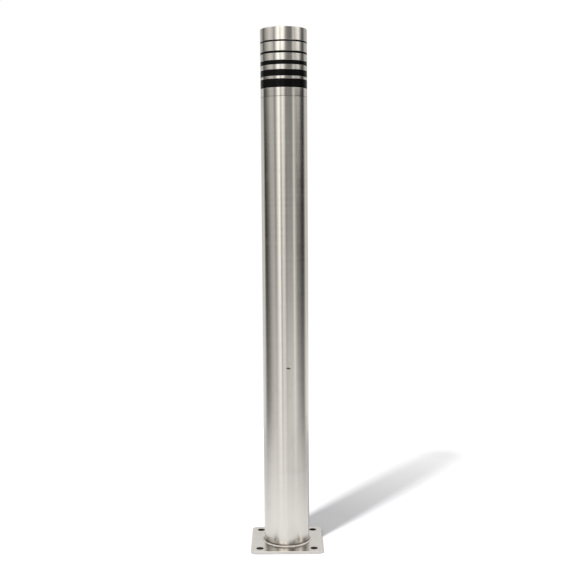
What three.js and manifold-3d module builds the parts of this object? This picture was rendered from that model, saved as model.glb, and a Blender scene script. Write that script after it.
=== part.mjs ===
// Surface-mounted steel safety bollard: a tube welded to a base plate, with a banded head on top
// that two grub screws hold and that lifts off. Millimetres, +Z up, the front faces -Y, and the
// origin is the centre of the base plate's underside.
import * as THREE from 'three';
import { mergeVertices } from 'three/addons/utils/BufferGeometryUtils.js';
import Module from 'manifold-3d';

const wasm = await Module();
wasm.setup();

// Post
const overallHeight = 1000;
const postRadius = 44.45;
const tubeWall = 3;

// Base plate and its weld
const plateSize = 140;
const plateThickness = 6;
const plateCorner = 10;
const anchorSpacing = 105;
const anchorHole = 7;
const drainHole = 15;
const weldLeg = 4.5;
const weldThroat = 2.6;

// Head: cap, then black and steel rings in turn from the top down, then the collar
const capHeight = 24.5;
const blackHeights = [3, 4, 8, 12, 16];
const steelHeights = [17, 13, 9, 5];
const collarHeight = 16;
const ringBore = 38.3;
const coreRadius = 38;
const coreWall = 3;
const capPlate = 6;
const capChamfer = 1.5;
const capBoss = 12;
const capSkirtGroove = 4.5;

// Collar floor and the spigot that centres the head in the tube
const floorThickness = 8;
const floorBelowRim = 4;
const spigotLength = 50;
const spigotRadius = 41.15;
const spigotRelief = 40;
const spigotLand = 19;
const spigotBore = 35;

// Fasteners
const rodRadius = 6;
const rodHole = 6.5;
const threadBore = 6.3;
const rodIntoBoss = 14;
const nutHeight = 10;
const nutFlats = 18;
const washerThickness = 2.5;
const grubRadius = 2.7;
const grubHole = 3;
const grubLength = 4;
const grubBelowRim = 30;
const grubSocket = 1.5;

// Seals
const grooveWidth = 4;
const grooveDepth = 2.4;
const gap = 0.3;

const roundSteps = 48;
const smallSteps = 24;

// Heights that neighbouring pieces share
const total = (heights) => heights.reduce((sum, height) => sum + height, 0);
const capBottom = overallHeight - capHeight;
const collarTop = capBottom - total(blackHeights) - total(steelHeights);
const tubeTop = collarTop - collarHeight;
const floorTop = collarTop - floorBelowRim;
const floorBottom = floorTop - floorThickness;
const capCeiling = overallHeight - capPlate;

const steel = { color: 0xc3c3c0, roughness: 0.32, metalness: 1 };
const polymer = { color: 0x121315, roughness: 0.18, metalness: 0 };
const zinc = { color: 0xa9acae, roughness: 0.4, metalness: 1 };
const rubber = { color: 0x0d0d0d, roughness: 0.7, metalness: 0 };

const bollard = new THREE.Group();

function add(name, geometry, finish) {
  const mesh = new THREE.Mesh(geometry, new THREE.MeshStandardMaterial(finish));
  mesh.name = name;
  bollard.add(mesh);
}

// A profile of [radius, height] points turned about the Z axis, outer side upwards
function turned(profile, steps = roundSteps) {
  const points = profile.map(([radius, height]) => new THREE.Vector2(radius, height));
  return new THREE.LatheGeometry(points, steps).rotateX(Math.PI / 2);
}

function ring(inner, outer, bottom, top, steps = roundSteps) {
  const profile = [[inner, bottom], [outer, bottom], [outer, top], [inner, top], [inner, bottom]];
  return turned(profile, steps);
}

function sealRing(inner, outer, height) {
  const thickness = (outer - inner) / 2;
  const seal = new THREE.TorusGeometry(inner + thickness, thickness, 8, roundSteps);
  return seal.translate(0, 0, height);
}

function circle(radius, steps, x = 0, y = 0) {
  const points = [];
  for (let i = 0; i < steps; i += 1) {
    const angle = (2 * Math.PI * (i + 0.5)) / steps;
    points.push(new THREE.Vector2(x + radius * Math.cos(angle), y + radius * Math.sin(angle)));
  }
  return points;
}

function slab(outline, holes, bottom, thickness) {
  const shape = new THREE.Shape(outline);
  shape.holes = holes.map((hole) => new THREE.Path(hole));
  const options = { depth: thickness, bevelEnabled: false };
  return new THREE.ExtrudeGeometry(shape, options).translate(0, 0, bottom);
}

// A bar lying along a radius of the post, from one distance to another out of the axis
function radialBar(radius, from, to, height, angle, steps) {
  const bar = new THREE.CylinderGeometry(radius, radius, to - from, steps);
  bar.rotateZ(-Math.PI / 2).translate((from + to) / 2, 0, height);
  return bar.rotateZ(angle);
}

function solid(geometry) {
  const bare = geometry.clone();
  bare.deleteAttribute('normal');
  bare.deleteAttribute('uv');
  const merged = mergeVertices(bare, 1e-4);
  const vertProperties = new Float32Array(merged.attributes.position.array);
  const triVerts = new Uint32Array(merged.index.array);
  return new wasm.Manifold(new wasm.Mesh({ numProp: 3, vertProperties, triVerts }));
}

function cut(geometry, ...tools) {
  const left = tools.reduce((body, tool) => body.subtract(solid(tool)), solid(geometry));
  const { vertProperties, triVerts } = left.getMesh();
  const result = new THREE.BufferGeometry();
  result.setAttribute('position', new THREE.BufferAttribute(vertProperties, 3));
  result.setIndex(new THREE.BufferAttribute(triVerts, 1));
  return result;
}

// Square plate with rounded corners, four anchor holes and a drain hole under the tube
function basePlate() {
  const corner = plateSize / 2 - plateCorner;
  const outline = [];
  for (let quarter = 0; quarter < 4; quarter += 1) {
    const middle = ((quarter + 0.5) * Math.PI) / 2;
    const x = Math.sign(Math.cos(middle)) * corner;
    const y = Math.sign(Math.sin(middle)) * corner;
    for (let i = 0; i <= 6; i += 1) {
      const angle = ((quarter + i / 6) * Math.PI) / 2;
      const offset = new THREE.Vector2(Math.cos(angle), Math.sin(angle));
      outline.push(offset.multiplyScalar(plateCorner).add(new THREE.Vector2(x, y)));
    }
  }
  const reach = anchorSpacing / 2;
  const holes = [circle(drainHole, smallSteps)];
  for (const x of [-reach, reach]) {
    for (const y of [-reach, reach]) {
      holes.push(circle(anchorHole, smallSteps, x, y));
    }
  }
  add('base_plate', slab(outline, holes, 0, plateThickness), steel);
}

// Fillet bead around the tube's foot, a little hollow between its two legs
function baseWeld() {
  const inner = postRadius + gap;
  const foot = plateThickness;
  const hollow = weldThroat / Math.SQRT2;
  const profile = [
    [inner, foot],
    [inner + weldLeg, foot],
    [inner + hollow, foot + hollow],
    [inner, foot + weldLeg],
    [inner, foot],
  ];
  add('base_weld', turned(profile), steel);
}

const grubHeight = tubeTop - grubBelowRim;
const grubs = [['grub_screw_left', (3 * Math.PI) / 4], ['grub_screw_right', Math.PI / 4]];

function postTube() {
  const tube = ring(postRadius - tubeWall, postRadius, plateThickness, tubeTop);
  const holes = grubs.map(([, angle]) => (
    radialBar(grubHole, spigotRelief, postRadius + 1, grubHeight, angle, smallSteps)
  ));
  add('post_tube', cut(tube, ...holes), steel);
}

// Headless screws that press on the spigot from behind, with a hex socket for the key
function grubScrews() {
  const tip = spigotRelief + gap;
  for (const [name, angle] of grubs) {
    const body = radialBar(grubRadius, tip, tip + grubLength, grubHeight, angle, smallSteps);
    const depth = grubLength / 2;
    const socket = radialBar(
      grubSocket / Math.cos(Math.PI / 6), tip + depth, postRadius + 1, grubHeight, angle, 6,
    );
    add(name, cut(body, socket), zinc);
  }
}

// Collar, floor and spigot turned in one piece, with a seal groove near the spigot's top
function headCollar() {
  const bottom = tubeTop - spigotLength;
  const landBottom = tubeTop - spigotLand;
  const grooveTop = tubeTop - grooveWidth;
  const grooveBottom = grooveTop - grooveWidth;
  const grooveFloor = spigotRadius - grooveDepth;
  const profile = [
    [spigotBore, bottom],
    [spigotRelief - 1, bottom],
    [spigotRelief, bottom + 1],
    [spigotRelief, landBottom - 1],
    [spigotRadius, landBottom],
    [spigotRadius, grooveBottom],
    [grooveFloor, grooveBottom],
    [grooveFloor, grooveTop],
    [spigotRadius, grooveTop],
    [spigotRadius, tubeTop],
    [postRadius, tubeTop],
    [postRadius, collarTop],
    [ringBore, collarTop],
    [ringBore, floorTop],
    [rodHole, floorTop],
    [rodHole, floorBottom],
    [spigotBore, floorBottom],
    [spigotBore, bottom],
  ];
  add('head_collar', turned(profile), steel);
  const middle = (grooveTop + grooveBottom) / 2;
  add('spigot_o_ring', sealRing(grooveFloor + gap, spigotRadius, middle), rubber);
}

function coreTube() {
  const top = capCeiling - 5 * gap;
  add('core_tube', ring(coreRadius - coreWall, coreRadius, floorTop, top), steel);
}

// Flush bands, numbered from the top: every black ring but the last has a steel one under it
function bands() {
  let top = capBottom;
  blackHeights.forEach((blackHeight, i) => {
    const number = i + 1;
    add(`black_ring_${number}`, ring(ringBore, postRadius, top - blackHeight, top), polymer);
    top -= blackHeight;
    if (i < steelHeights.length) {
      const bottom = top - steelHeights[i];
      add(`steel_ring_${number}`, ring(ringBore, postRadius, bottom, top), steel);
      top = bottom;
    }
  });
}

// Flat-topped cap: skirt over the core tube, seal groove, and a blind boss for the tie rod
function headCap() {
  const grooveTop = capBottom + capSkirtGroove + grooveWidth;
  const grooveBottom = capBottom + capSkirtGroove;
  const grooveFloor = ringBore + grooveDepth;
  const blindEnd = capBottom + rodIntoBoss + 1;
  const profile = [
    [0, blindEnd],
    [threadBore, blindEnd],
    [threadBore, capBottom],
    [capBoss, capBottom],
    [capBoss, capCeiling],
    [ringBore, capCeiling],
    [ringBore, grooveTop],
    [grooveFloor, grooveTop],
    [grooveFloor, grooveBottom],
    [ringBore, grooveBottom],
    [ringBore, capBottom],
    [postRadius, capBottom],
    [postRadius, overallHeight - capChamfer],
    [postRadius - capChamfer, overallHeight],
    [0, overallHeight],
  ];
  add('head_cap', turned(profile), steel);
  const middle = (grooveTop + grooveBottom) / 2;
  add('cap_o_ring', sealRing(ringBore, grooveFloor - gap, middle), rubber);
}

// The rod draws the cap down on the rings, with a washer, a spring washer and a nut below
function tieRod() {
  const washerBottom = floorBottom - washerThickness;
  const springBottom = washerBottom - washerThickness;
  const nutBottom = springBottom - nutHeight;
  const rodBottom = nutBottom - rodRadius;
  const rod = new THREE.CylinderGeometry(rodRadius, rodRadius, 1, smallSteps);
  const length = capBottom + rodIntoBoss - rodBottom;
  rod.rotateX(Math.PI / 2).scale(1, 1, length).translate(0, 0, rodBottom + length / 2);
  add('tie_rod', rod, zinc);
  add('tie_rod_washer', ring(rodHole, 2 * rodRadius, washerBottom, floorBottom, smallSteps), zinc);

  // Split ring: one turn less a narrow cut
  const inner = [];
  const outer = [];
  for (let i = 0; i <= smallSteps; i += 1) {
    const angle = 0.12 + (i / smallSteps) * (2 * Math.PI - 0.24);
    const spoke = new THREE.Vector2(Math.cos(angle), Math.sin(angle));
    inner.unshift(spoke.clone().multiplyScalar(threadBore));
    outer.push(spoke.clone().multiplyScalar(1.75 * rodRadius));
  }
  add('tie_rod_spring_washer', slab([...outer, ...inner], [], springBottom, washerThickness), zinc);

  const corners = circle(nutFlats / 2 / Math.cos(Math.PI / 6), 6);
  add('tie_rod_nut', slab(corners, [circle(threadBore, smallSteps)], nutBottom, nutHeight), zinc);
}

basePlate();
baseWeld();
postTube();
grubScrews();
headCollar();
coreTube();
bands();
headCap();
tieRod();

export default bollard;
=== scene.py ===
import math
import bpy
import bmesh
from mathutils import Matrix, Vector


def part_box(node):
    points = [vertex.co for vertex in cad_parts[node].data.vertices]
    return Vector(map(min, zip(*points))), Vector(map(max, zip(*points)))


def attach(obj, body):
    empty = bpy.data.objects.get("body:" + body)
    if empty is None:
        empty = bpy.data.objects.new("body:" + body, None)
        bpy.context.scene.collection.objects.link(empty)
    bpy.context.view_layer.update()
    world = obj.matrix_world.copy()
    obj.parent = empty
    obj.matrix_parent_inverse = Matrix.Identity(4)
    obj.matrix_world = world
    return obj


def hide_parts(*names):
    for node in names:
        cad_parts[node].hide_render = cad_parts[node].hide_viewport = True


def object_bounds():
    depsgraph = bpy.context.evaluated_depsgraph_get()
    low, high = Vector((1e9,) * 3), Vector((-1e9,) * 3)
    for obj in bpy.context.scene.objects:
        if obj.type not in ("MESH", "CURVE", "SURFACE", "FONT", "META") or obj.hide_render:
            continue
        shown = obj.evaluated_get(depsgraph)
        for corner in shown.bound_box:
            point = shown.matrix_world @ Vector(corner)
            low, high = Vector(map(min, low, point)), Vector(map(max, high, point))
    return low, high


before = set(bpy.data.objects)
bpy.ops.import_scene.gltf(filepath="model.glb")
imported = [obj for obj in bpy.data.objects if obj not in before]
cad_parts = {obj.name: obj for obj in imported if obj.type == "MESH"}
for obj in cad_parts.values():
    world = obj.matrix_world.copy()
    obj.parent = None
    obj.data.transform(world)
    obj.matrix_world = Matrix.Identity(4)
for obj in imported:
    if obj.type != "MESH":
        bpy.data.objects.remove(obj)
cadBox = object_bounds()
mm = 0.001


# Sizes that the frame holds: heights and the outer radius of a turned node
def lowZ(node):
    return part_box(node)[0].z


def topZ(node):
    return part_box(node)[1].z


def reach(node):
    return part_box(node)[1].x


def addObject(name, data):
    holder = bpy.data.objects.new(name, data)
    bpy.context.collection.objects.link(holder)
    return holder


# Helpers for node trees
def addSocket(tree, label, side, kind):
    return tree.interface.new_socket(label, in_out=side, socket_type=f"NodeSocket{kind}")


def newTree(name, kind, inputs, outputs):
    tree = bpy.data.node_groups.new(name, kind)
    for label, shape, value in inputs:
        socket = addSocket(tree, label, "INPUT", shape)
        if value is not None:
            socket.default_value = value
    for label, shape in outputs:
        addSocket(tree, label, "OUTPUT", shape)
    given = tree.nodes.new("NodeGroupInput").outputs
    made = tree.nodes.new("NodeGroupOutput").inputs
    return tree, given, made


def feed(tree, socket, value):
    if isinstance(value, bpy.types.NodeSocket):
        tree.links.new(value, socket)
    else:
        socket.default_value = value


def put(tree, kind, links=None, **settings):
    node = tree.nodes.new(kind)
    for key, value in settings.items():
        setattr(node, key, value)
    for socket, value in (links or {}).items():
        feed(tree, node.inputs[socket], value)
    return node


def calc(tree, operation, *values):
    return put(tree, "ShaderNodeMath", dict(enumerate(values)), operation=operation).outputs[0]


def plus(tree, first, second):
    return calc(tree, "ADD", first, second)


def minus(tree, first, second):
    return calc(tree, "SUBTRACT", first, second)


def times(tree, first, second):
    return calc(tree, "MULTIPLY", first, second)


def over(tree, first, second):
    return calc(tree, "DIVIDE", first, second)


def rescale(tree, value, low, high, newLow=0.0, newHigh=1.0, smooth=False):
    values = dict(enumerate((value, low, high, newLow, newHigh)))
    kind = "SMOOTHSTEP" if smooth else "LINEAR"
    return put(tree, "ShaderNodeMapRange", values, interpolation_type=kind).outputs[0]


def split(tree, vector):
    return put(tree, "ShaderNodeSeparateXYZ", {0: vector}).outputs


def join(tree, x=0.0, y=0.0, z=0.0):
    return put(tree, "ShaderNodeCombineXYZ", {0: x, 1: y, 2: z}).outputs[0]


def length(tree, vector):
    return put(tree, "ShaderNodeVectorMath", {0: vector}, operation="LENGTH").outputs["Value"]


# How far out a place is past a square's sides or corner points, the same in all four quarters
def foldedOff(tree, x, y, half):
    return [minus(tree, calc(tree, "ABSOLUTE", value), half) for value in (x, y)]


def mixColour(tree, share, first, second):
    if isinstance(second, tuple):
        second = (*second, 1)
    links = {"Factor": share, 6: first, 7: second}
    return put(tree, "ShaderNodeMix", links, data_type="RGBA").outputs[2]


def rampColour(tree, share, tones):
    node = put(tree, "ShaderNodeValToRGB", {0: share})
    stops = node.color_ramp.elements
    for i in range(len(tones) - 2):
        stops.new(0.5)
    for stop, (place, colour) in zip(list(stops), tones):
        stop.position = place
        stop.color = (*colour, 1)
    return node.outputs[0]


def scale(tree, vector, factor):
    node = put(tree, "ShaderNodeVectorMath", {0: vector}, operation="SCALE")
    feed(tree, node.inputs["Scale"], factor)
    return node.outputs[0]


def noise(tree, place, size, detail=2.0, roughness=0.5, distortion=0.0):
    links = {"Vector": place, "Scale": size, "Detail": detail, "Roughness": roughness,
             "Distortion": distortion}
    return put(tree, "ShaderNodeTexNoise", links).outputs[0]


def useGroup(tree, group, links):
    return put(tree, "ShaderNodeGroup", links, node_tree=group).outputs


# The camera stands in front, a little below the head, and looks slightly down
camera = {"distance": 1.893, "aside": 2.45 * mm, "height": 0.694, "tiltDown": 5.61,
          "roll": -0.405, "lens": 61.15}


def placeCamera():
    lens = bpy.data.cameras.new("camera")
    lens.lens = camera["lens"]
    lens.sensor_width = 36
    lens.clip_start = 0.05
    holder = addObject("camera", lens)
    place = Matrix.Translation((camera["aside"], -camera["distance"], camera["height"]))
    aim = Matrix.Rotation(math.radians(90 - camera["tiltDown"]), 4, "X")
    roll = Matrix.Rotation(math.radians(camera["roll"]), 4, "Z")
    holder.matrix_world = place @ aim @ roll
    bpy.context.scene.camera = holder


# Studio. Each wall entry is a compass angle, 0 in front and positive to the right, with how bright
# the room is there: level with the head, lower down, and along the floor's far end.
studio = {
    # Under the plate the paper takes a dark colour that is painted shade
    "floorRadius": 0.95, "floorColour": (0.61, 0.61, 0.625), "paintedShadeUnderPlate": (0.05, 0.047, 0.044),
    "lampDirection": (-0.546, -0.838), "lampAway": 1.45, "lampHeight": 2.9, "lampRadius": 0.1,
    "lampPower": 450, "fadeStart": 0.2, "fadeLength": 0.5, "fadeGlow": 0.45, "farTone": 0.76,
    "rearSpan": (-0.12, 0.12), "rearTone": 0.88,
    "walls": [(-180, 0.68), (-150, 0.6), (-136, 0.5), (-126, 0.25), (-116, 0.08), (-108, 0.35),
              (-92, 0.64), (-72, 0.97), (-56, 0.74), (-48, 0.28), (-41, 0.8), (-33, 1.6),
              (-24, 1.8), (-17, 1.1), (-9, 1.9), (0, 1.6), (7, 0.72), (14, 0.3), (28, 0.19),
              (40, 0.2), (47, 0.8), (55, 0.65), (68, 1.27), (79, 1.52), (90, 0.5), (102, 0.14),
              (112, 0.16), (124, 0.5), (136, 0.52), (150, 0.6)],
    "lowWalls": [(-180, 0.75), (-150, 0.7), (-134, 0.75), (-125, 0.85), (-119, 0.35), (-112, 0.0),
                 (-98, 0.03), (-86, 0.14), (-70, 0.46), (-54, 0.55), (-44, 0.15), (-34, 0.85),
                 (-24, 1.6), (-17, 0.1), (-9, 0.85), (-1, 0.7), (7, 0.0), (15, 0.28), (30, 0.28),
                 (40, 0.3), (47, 1.05), (55, 0.4), (64, 0.05), (70, 0.0), (108, 0.0),
                 (116, 0.25), (125, 0.75), (138, 0.75), (150, 0.62)],
    "farFloor": [(-180, 0.9), (-144, 0.95), (-130, 0.9), (-118, 0.55), (-104, 0.24), (-84, 0.35),
                 (-62, 0.7), (-45, 0.92), (-28, 1.12), (-16, 0.9), (0, 1.0), (20, 1.08), (42, 1.15),
                 (56, 1.0), (72, 0.65), (90, 0.4), (104, 0.36), (118, 0.95), (136, 1.05)],
    "levelHeights": (0.08, 0.16), "farHeights": (-0.21, -0.09), "ceilingHeights": (0.4, 0.8),
    "ceiling": 0.98, "ceilingTilt": 0.3, "wallTint": (1.0, 0.985, 0.955),
    "floorGap": 0.2 * mm, "plateOverhang": 0.3 * mm, "spotSize": 1.4,
}


def wallStrips(tree, share, tones):
    return rampColour(tree, share, [((angle + 180) / 360, [tone] * 3) for angle, tone in tones])


def lightRoom():
    room = bpy.data.worlds.new("studioRoom")
    bpy.context.scene.world = room
    room.use_nodes = True
    tree = room.node_tree
    tree.nodes.clear()
    x, y, z = split(tree, put(tree, "ShaderNodeTexCoord").outputs["Generated"])
    compass = calc(tree, "ARCTAN2", x, times(tree, y, -1.0))
    share = rescale(tree, compass, -math.pi, math.pi)
    whole = wallStrips(tree, share, studio["farFloor"])
    for tones, heights in (("lowWalls", "farHeights"), ("walls", "levelHeights")):
        above = rescale(tree, z, *studio[heights], smooth=True)
        strips = scale(tree, studio["wallTint"], wallStrips(tree, share, studio[tones]))
        whole = mixColour(tree, above, whole, strips)
    tilted = calc(tree, "MULTIPLY_ADD", y, studio["ceilingTilt"], z)
    above = rescale(tree, tilted, *studio["ceilingHeights"], smooth=True)
    whole = mixColour(tree, above, whole, (studio["ceiling"],) * 3)
    eye = put(tree, "ShaderNodeLightPath").outputs["Is Camera Ray"]
    seen = mixColour(tree, eye, whole, (1, 1, 1))
    light = put(tree, "ShaderNodeBackground", {"Color": seen}).outputs[0]
    put(tree, "ShaderNodeOutputWorld", {"Surface": light})


def hangLamp():
    lamp = bpy.data.lights.new("lamp", "POINT")
    lamp.shadow_soft_size = studio["lampRadius"]
    lamp.energy = studio["lampPower"]
    holder = addObject("lamp", lamp)
    x, y = Vector(studio["lampDirection"]) * studio["lampAway"]
    holder.matrix_world = Matrix.Translation((x, y, studio["lampHeight"]))
    holder.visible_glossy = False


def layFloor():
    shape = bmesh.new()
    bmesh.ops.create_circle(shape, cap_ends=True, radius=studio["floorRadius"], segments=96)
    drop = cadBox[0].z - studio["floorGap"]
    bmesh.ops.translate(shape, verts=shape.verts, vec=(0, 0, drop))
    addObject("studioFloor", meshFrom("studioFloor", shape, whitePaper()))


# White paper that glows a little more away from the post, so that the shadow fades out there.
# Reflections see it darker far away and behind the post.
def whitePaper():
    paper = bpy.data.materials.new("whitePaper")
    paper.use_nodes = True
    tree = paper.node_tree
    tree.nodes.clear()
    place = put(tree, "ShaderNodeTexCoord").outputs["Object"]
    x, y = split(tree, place)[:2]
    past = foldedOff(tree, x, y, reach("base_plate") - plate["corner"])
    past = [calc(tree, "MAXIMUM", value, 0.0) for value in past]
    past = length(tree, join(tree, *past))
    covered = calc(tree, "LESS_THAN", past, plate["corner"] - studio["plateOverhang"])
    eye = put(tree, "ShaderNodeLightPath").outputs["Is Camera Ray"]
    away = length(tree, place)
    start, end = studio["fadeStart"], studio["fadeStart"] + studio["fadeLength"]
    paperTone = scale(tree, studio["floorColour"],
                      rescale(tree, away, start, end, 1.0, studio["farTone"]))
    rear = rescale(tree, y, *studio["rearSpan"], 1.0, studio["rearTone"])
    paperTone = scale(tree, paperTone, calc(tree, "MAXIMUM", rear, eye))
    # Under the plate the paper is painted dark: painted shade, seen through the plate's holes
    paperTone = mixColour(tree, covered, paperTone, studio["paintedShadeUnderPlate"])
    matt = put(tree, "ShaderNodeBsdfDiffuse", {"Color": paperTone})

    # Only the spots under the holes stay solid there, so that the plate's underside has light
    anchor = foldedOff(tree, x, y, plate["anchorSpacing"] / 2)
    bare = covered
    for spot, radius in ((anchor, plate["anchorRadius"]), ((x, y), plate["drainRadius"])):
        off = length(tree, join(tree, *spot))
        wide = studio["spotSize"] * radius
        bare = times(tree, bare, calc(tree, "GREATER_THAN", off, wide))
    glow = rescale(tree, away, start, end, 0.0, studio["fadeGlow"])
    shine = put(tree, "ShaderNodeEmission", {"Strength": times(tree, glow, eye)})
    lit = put(tree, "ShaderNodeAddShader", {0: matt.outputs[0], 1: shine.outputs[0]})
    through = put(tree, "ShaderNodeBsdfTransparent")
    below = put(tree, "ShaderNodeNewGeometry").outputs["Backfacing"]
    below = calc(tree, "MAXIMUM", below, bare)
    both = put(tree, "ShaderNodeMixShader", {0: below, 1: lit.outputs[0], 2: through.outputs[0]})
    put(tree, "ShaderNodeOutputMaterial", {"Surface": both.outputs[0]})
    return paper


# Outlines for the lathe. A corner is (radius, height, rounding) and may go on with half a hexagon's
# width across flats, which the radius then limits, and with the depth of a thread. The outer side
# runs upwards. Short straight stretches beside each rounding keep its shading off the long faces.
def roundCorner(before, corner, after, rounding, steps=4):
    into = (corner - before).normalized()
    out = (after - corner).normalized()
    bend = math.atan2(into.x * out.y - into.y * out.x, into.dot(out))
    setback = rounding * math.tan(abs(bend) / 2)
    start = corner - into * setback
    side = Vector((-into.y, into.x)) * math.copysign(rounding, bend)
    centre = start + side
    points = [(start - into * rounding, 0)]
    for i in range(steps + 1):
        points.append((centre + Matrix.Rotation(bend * i / steps, 2) @ (start - centre), 1))
    points.append((corner + out * (setback + rounding), 0))
    return points


def outline(name, corners, closed=True):
    places = [Vector(corner[:2]) for corner in corners]
    points = []
    for i, corner in enumerate(corners):
        rounding, *form = corner[2:]
        form = (form + [0, 0])[:2]
        ends = not closed and i in (0, len(corners) - 1)
        if rounding and not ends:
            after = places[(i + 1) % len(places)]
            rounded = roundCorner(places[i - 1], places[i], after, rounding)
            points += [(place, edge, *form) for place, edge in rounded]
        else:
            points.append((places[i], 0, *form))
    if closed:
        points.append(points[0])
    mesh = bpy.data.meshes.new(name)
    links = [(i, i + 1) for i in range(len(points) - 1)]
    mesh.from_pydata([(point[0].x, 0, point[0].y) for point in points], links, [])
    mesh.attributes.new("shape", "FLOAT_VECTOR", "POINT")
    mesh.attributes.new("thread", "FLOAT", "POINT")
    shape, thread = mesh.attributes["shape"], mesh.attributes["thread"]
    gone = 0.0
    for i, (place, edge, apothem, depth) in enumerate(points):
        gone += (place - points[i - 1][0]).length if i else 0.0
        shape.data[i].vector = (gone, edge, apothem)
        thread.data[i].value = depth
    return mesh


def circleCorners(radius, height, thickness, steps=16):
    angles = [math.tau * i / steps for i in range(steps)]
    return [(radius + thickness * math.cos(angle), height + thickness * math.sin(angle), 0)
            for angle in angles]


def threadCorners(radius, low, top, pitch, depth, rowsPerTurn=8):
    count = round((top - low) / pitch * rowsPerTurn)
    heights = [low + (top - low) * i / count for i in range(count + 1)]
    return [(radius, height, 0, 0, depth) for height in heights]


# Start of a round piece: a grid with a column for each step around, how far round each point is
# from 0 to 1, and the number of its row.
def startRound(tree, columns, rows):
    sheet = put(tree, "GeometryNodeMeshGrid", {
        "Size X": 1, "Size Y": 1, "Vertices X": columns, "Vertices Y": rows}).outputs["Mesh"]
    x, y = split(tree, put(tree, "GeometryNodeInputPosition").outputs[0])[:2]
    row = calc(tree, "ROUND", times(tree, plus(tree, y, 0.5), minus(tree, rows, 1)))
    return sheet, plus(tree, x, 0.5), row


# End of a round piece: puts every point at its radius, height and angle, and closes the seam
def wrapRound(tree, sheet, radius, height, angle):
    spun = put(tree, "ShaderNodeVectorRotate", {
        "Vector": join(tree, radius, 0.0, height), "Angle": angle}, rotation_type="Z_AXIS")
    wrapped = put(tree, "GeometryNodeSetPosition", {
        "Geometry": sheet, "Position": spun.outputs[0]})
    closed = put(tree, "GeometryNodeMergeByDistance", {
        "Geometry": wrapped.outputs[0], "Distance": 1e-6})
    return closed.outputs[0]


# Lathe: spins an outline about Z. It can make hexagons and cut a helical thread, lays a UV map with
# U around and V along the outline, and marks the rounded edges in an attribute named "edge".
def latheTree():
    tree, given, made = newTree("lathe", "GeometryNodeTree", [
        ("Outline", "Geometry", None),
        ("Facets", "Int", 160),
        ("Pitch", "Float", 1.75 * mm),
        ("Crease Angle", "Float", math.radians(35)),
        ("Finish", "Material", None),
    ], [("Piece", "Geometry")])
    count = put(tree, "GeometryNodeAttributeDomainSize", {"Geometry": given["Outline"]})
    count = count.outputs["Point Count"]
    sheet, lap, row = startRound(tree, plus(tree, given["Facets"], 1), count)
    position = put(tree, "GeometryNodeInputPosition").outputs[0]

    def fromOutline(value, kind):
        links = {"Geometry": given["Outline"], "Value": value, "Index": row}
        return put(tree, "GeometryNodeSampleIndex", links, data_type=kind).outputs[0]

    def named(name, kind):
        links = {"Name": name}
        return put(tree, "GeometryNodeInputNamedAttribute", links, data_type=kind).outputs[0]

    place = split(tree, fromOutline(position, "FLOAT_VECTOR"))
    radius, height = place["X"], place["Z"]
    along, edge, apothem = split(tree, fromOutline(named("shape", "FLOAT_VECTOR"), "FLOAT_VECTOR"))
    depth = fromOutline(named("thread", "FLOAT"), "FLOAT")

    # Distance from the axis to a hexagon's side, at most the outline's radius
    angle = times(tree, lap, math.tau)
    sixth = math.tau / 6
    fold = minus(tree, calc(tree, "WRAP", angle, sixth, 0.0), sixth / 2)
    side = over(tree, apothem, calc(tree, "COSINE", fold))
    limited = calc(tree, "MINIMUM", radius, side)
    hexagonal = calc(tree, "GREATER_THAN", apothem, 0.0)
    spare = times(tree, minus(tree, limited, radius), hexagonal)
    winds = minus(tree, over(tree, height, given["Pitch"]), lap)
    flank = times(tree, calc(tree, "PINGPONG", winds, 0.5), 2.0)
    sunk = times(tree, depth, flank)
    cut = minus(tree, plus(tree, radius, spare), sunk)

    mapped = put(tree, "GeometryNodeStoreNamedAttribute", {
        "Geometry": sheet, "Name": "UVMap", "Value": join(tree, lap, along)},
        data_type="FLOAT2", domain="CORNER")
    marked = put(tree, "GeometryNodeStoreNamedAttribute", {
        "Geometry": mapped.outputs[0], "Name": "edge", "Value": edge},
        data_type="FLOAT", domain="POINT")
    finishTree(tree, wrapRound(tree, marked.outputs[0], cut, height, angle), given, made)
    return tree


# Every tree ends alike: smooth faces with sharp creases, real geometry, and its material
def finishTree(tree, geometry, given, made):
    smooth = put(tree, "GeometryNodeSetShadeSmooth", {0: geometry})
    fold = put(tree, "GeometryNodeInputMeshEdgeAngle").outputs["Unsigned Angle"]
    creased = calc(tree, "GREATER_THAN", fold, given["Crease Angle"])
    edged = put(tree, "GeometryNodeSetShadeSmooth", {
        0: smooth.outputs[0], "Selection": creased, "Shade Smooth": False}, domain="EDGE")
    real = put(tree, "GeometryNodeRealizeInstances", {0: edged.outputs[0]})
    finished = put(tree, "GeometryNodeSetMaterial", {
        "Geometry": real.outputs[0], "Material": given["Finish"]})
    tree.links.new(finished.outputs[0], made["Piece"])


# The object's mesh with its modifiers worked in. The object itself goes.
def plainMesh(name, holder):
    seen = holder.evaluated_get(bpy.context.evaluated_depsgraph_get())
    mesh = bpy.data.meshes.new_from_object(seen)
    bpy.data.objects.remove(holder)
    mesh.name = name
    return mesh


def meshFrom(name, shape, finish):
    mesh = bpy.data.meshes.new(name)
    shape.to_mesh(mesh)
    shape.free()
    mesh.materials.append(finish)
    return mesh


# Runs a tree on a start mesh and keeps the result as a plain mesh
def runTree(name, tree, start, values):
    holder = addObject(name, start)
    modifier = holder.modifiers.new("build", "NODES")
    modifier.node_group = tree
    for item in tree.interface.items_tree:
        if item.in_out == "INPUT" and item.name in values:
            modifier[item.identifier] = values[item.name]
    return plainMesh(name, holder)


def finishPiece(name, mesh, finish, body, *nodes):
    piece = addObject(name, mesh)
    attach(piece, body)
    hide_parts(*nodes)


# Turns one piece on the lathe
def turn(name, corners, finish, facets=160, closed=True, pitch=1.75 * mm):
    values = {"Facets": facets, "Finish": finish, "Pitch": pitch}
    return runTree(name, lathe, outline(name, corners, closed), values)


def turnHeadPiece(name, node, corners, finish, **settings):
    finishPiece(name, turn(name, corners, finish, **settings), finish, "head", node)


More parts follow.
